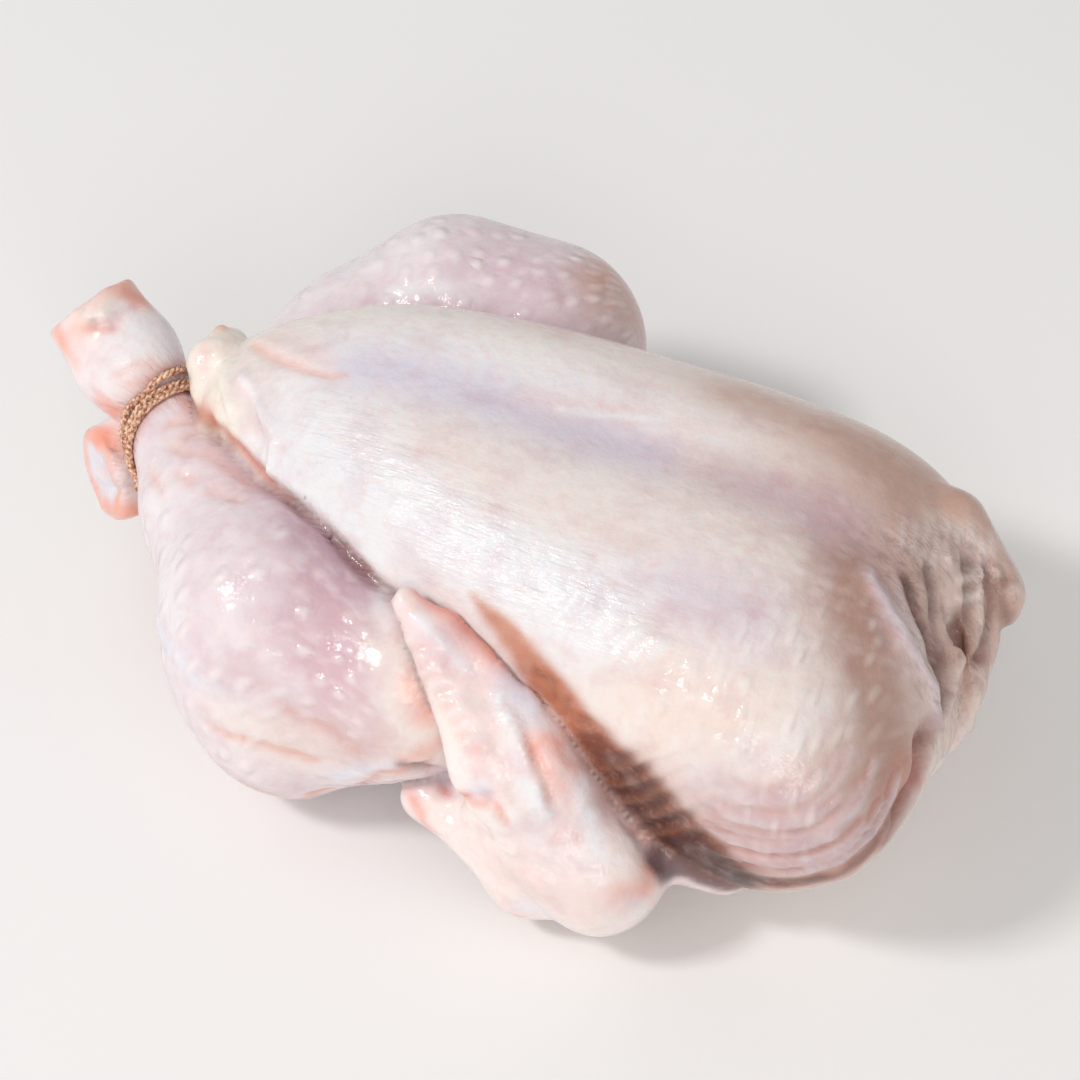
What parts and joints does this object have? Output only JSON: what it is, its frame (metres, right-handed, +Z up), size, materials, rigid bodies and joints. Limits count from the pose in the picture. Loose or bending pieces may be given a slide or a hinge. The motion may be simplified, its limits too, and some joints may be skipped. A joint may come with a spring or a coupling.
{
  "type": "whole raw chicken",
  "caption": "Whole raw oven-ready chicken for roasting, on its back with the breast up, ankles crossed and tied with brown twine, wings folded at the sides.",
  "frame": {"origin": "on the flat spot under the back that the bird rests on, in line with the breastbone", "axes": "+X from the tied ankles towards the neck end, +Y towards the bird's right side, +Z up, away from the surface it rests on"},
  "size_m": [0.2931, 0.2035, 0.1084],
  "materials": {
    "skin": "moist, smooth raw poultry skin, pale pink with lilac and cream areas",
    "twine": "brown twisted jute twine, matt"
  },
  "bodies": {
    "root": {"chicken": "skin", "twine_tie": "twine"}
  },
  "joints": []
}
